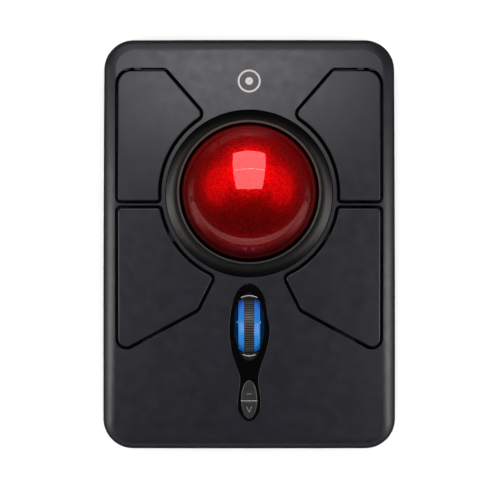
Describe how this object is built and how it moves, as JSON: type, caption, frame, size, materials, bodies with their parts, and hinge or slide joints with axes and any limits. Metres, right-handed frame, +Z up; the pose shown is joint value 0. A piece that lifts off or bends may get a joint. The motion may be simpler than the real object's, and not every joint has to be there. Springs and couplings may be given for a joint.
{
  "type": "trackball mouse",
  "caption": "Wireless desktop trackball with a large red ball in a dark ring, finger buttons around it, a ribbed lit scroll wheel and a small rocker on a crowned charcoal case.",
  "frame": {"origin": "centre of the bounding box at the bottom of the rubber feet, where it stands on the desk", "axes": "+Z up, +Y away from the user (towards the ball's end), +X to the right"},
  "size_m": [0.1086, 0.1516, 0.055],
  "materials": {
    "case_plastic": "fine moulded texture, satin charcoal",
    "button_plastic": "fine moulded texture, satin charcoal",
    "ring_plastic": "smooth satin black",
    "gloss_black": "polished black",
    "grey_plastic": "satin grey",
    "inner_plastic": "plain moulded",
    "nylon": "natural moulded",
    "red_pearl": "pearl flake under clear coat",
    "ball_resin": "cast resin",
    "blue_lightguide": "translucent, lit from inside",
    "wheel_rubber": "ribbed",
    "foot_rubber": "matt",
    "steel": "ground",
    "plated_steel": "nickel plated",
    "ceramic": "polished",
    "circuit_board": "solder mask",
    "chip_black": "epoxy",
    "lens_clear": "clear moulded",
    "led_body": "clear package",
    "cell_jacket": "printed film with no text"
  },
  "bodies": {
    "case": {"top_shell": "case_plastic", "bottom_shell": "case_plastic", "rubber_feet": "foot_rubber", "case_screws": "steel", "ball_ring": "ring_plastic", "ball_cup": "inner_plastic", "ball_bearings": "ceramic", "cup_screws": "steel", "sensor_board": "circuit_board", "sensor_chip": "chip_black", "sensor_lens": "lens_clear", "wheel_bezel": "gloss_black", "wheel_bracket": "nylon", "wheel_switch": "chip_black", "wheel_leds": "led_body", "dpi_board": "circuit_board", "dpi_switches": "chip_black", "main_board": "circuit_board", "board_screws": "steel", "button_switches": "chip_black", "controller_chip": "chip_black", "radio_module": "circuit_board", "power_switch": "plated_steel", "aa_cell_near": "cell_jacket", "aa_cell_far": "cell_jacket", "battery_contacts": "plated_steel", "battery_springs": "plated_steel"},
    "upper_left": {"upper_left_button": "button_plastic"},
    "upper_right": {"upper_right_button": "button_plastic"},
    "lower_left": {"lower_left_button": "button_plastic"},
    "lower_right": {"lower_right_button": "button_plastic"},
    "ball_inner": {"ball_core": "ball_resin"},
    "ball_middle": {"ball_body": "ball_resin"},
    "ball_outer": {"ball_pearl_coat": "red_pearl"},
    "wheel_yoke": {"wheel_carrier": "nylon", "wheel_encoder": "chip_black"},
    "wheel": {"wheel_hub": "blue_lightguide", "wheel_tyre": "wheel_rubber", "wheel_axle": "steel"},
    "dpi_up": {"dpi_up_button": "grey_plastic"},
    "dpi_down": {"dpi_down_button": "grey_plastic"},
    "slider": {"power_slider": "grey_plastic"},
    "door": {"battery_door": "case_plastic"},
    "receiver": {"receiver_housing": "gloss_black", "receiver_plug": "plated_steel"}
  },
  "joints": [
    {"name": "upper_left_press", "type": "hinge", "parent": "case", "child": "upper_left", "pos_m": [0, 0.067, 0.025], "axis": [1, 0, 0], "range_deg": [0, 1.2], "stiffness_Nm_per_rad": 1.6, "springref_deg": -2.86},
    {"name": "upper_right_press", "type": "hinge", "parent": "case", "child": "upper_right", "pos_m": [0, 0.067, 0.025], "axis": [1, 0, 0], "range_deg": [0, 1.2], "stiffness_Nm_per_rad": 1.6, "springref_deg": -2.86},
    {"name": "lower_left_press", "type": "hinge", "parent": "case", "child": "lower_left", "pos_m": [0, -0.041, 0.0213], "axis": [-1, 0, 0], "range_deg": [0, 1.2], "stiffness_Nm_per_rad": 1.6, "springref_deg": -2.86},
    {"name": "lower_right_press", "type": "hinge", "parent": "case", "child": "lower_right", "pos_m": [0, -0.041, 0.0213], "axis": [-1, 0, 0], "range_deg": [0, 1.2], "stiffness_Nm_per_rad": 1.6, "springref_deg": -2.86},
    {"name": "ball_roll_y", "type": "hinge", "parent": "case", "child": "ball_inner", "pos_m": [0, 0.0194, 0.03], "axis": [1, 0, 0], "continuous": true},
    {"name": "ball_roll_x", "type": "hinge", "parent": "ball_inner", "child": "ball_middle", "pos_m": [0, 0.0194, 0.03], "axis": [0, 1, 0], "continuous": true},
    {"name": "ball_twist", "type": "hinge", "parent": "ball_middle", "child": "ball_outer", "pos_m": [0, 0.0194, 0.03], "axis": [0, 0, 1], "continuous": true},
    {"name": "wheel_press", "type": "hinge", "parent": "case", "child": "wheel_yoke", "pos_m": [0, -0.0135, 0.021], "axis": [1, 0, 0], "range_deg": [0, 2.2], "stiffness_Nm_per_rad": 0.6, "springref_deg": -2.86},
    {"name": "wheel_spin", "type": "hinge", "parent": "wheel_yoke", "child": "wheel", "pos_m": [0, -0.0292, 0.02265], "axis": [1, 0, 0], "continuous": true},
    {"name": "dpi_up_press", "type": "slide", "parent": "case", "child": "dpi_up", "axis": [0, 0, -1], "range_m": [0, 0.00045], "stiffness_N_per_m": 1200, "springref_m": -0.0002},
    {"name": "dpi_down_press", "type": "slide", "parent": "case", "child": "dpi_down", "axis": [0, 0, -1], "range_m": [0, 0.00045], "stiffness_N_per_m": 1200, "springref_m": -0.0002},
    {"name": "power_slide", "type": "slide", "parent": "case", "child": "slider", "axis": [1, 0, 0], "range_m": [0, 0.003]},
    {"name": "door_slide", "type": "slide", "parent": "case", "child": "door", "axis": [0, -1, 0], "range_m": [0, 0.034]},
    {"name": "receiver_slide", "type": "slide", "parent": "case", "child": "receiver", "axis": [0, 1, 0], "range_m": [0, 0.019]}
  ]
}
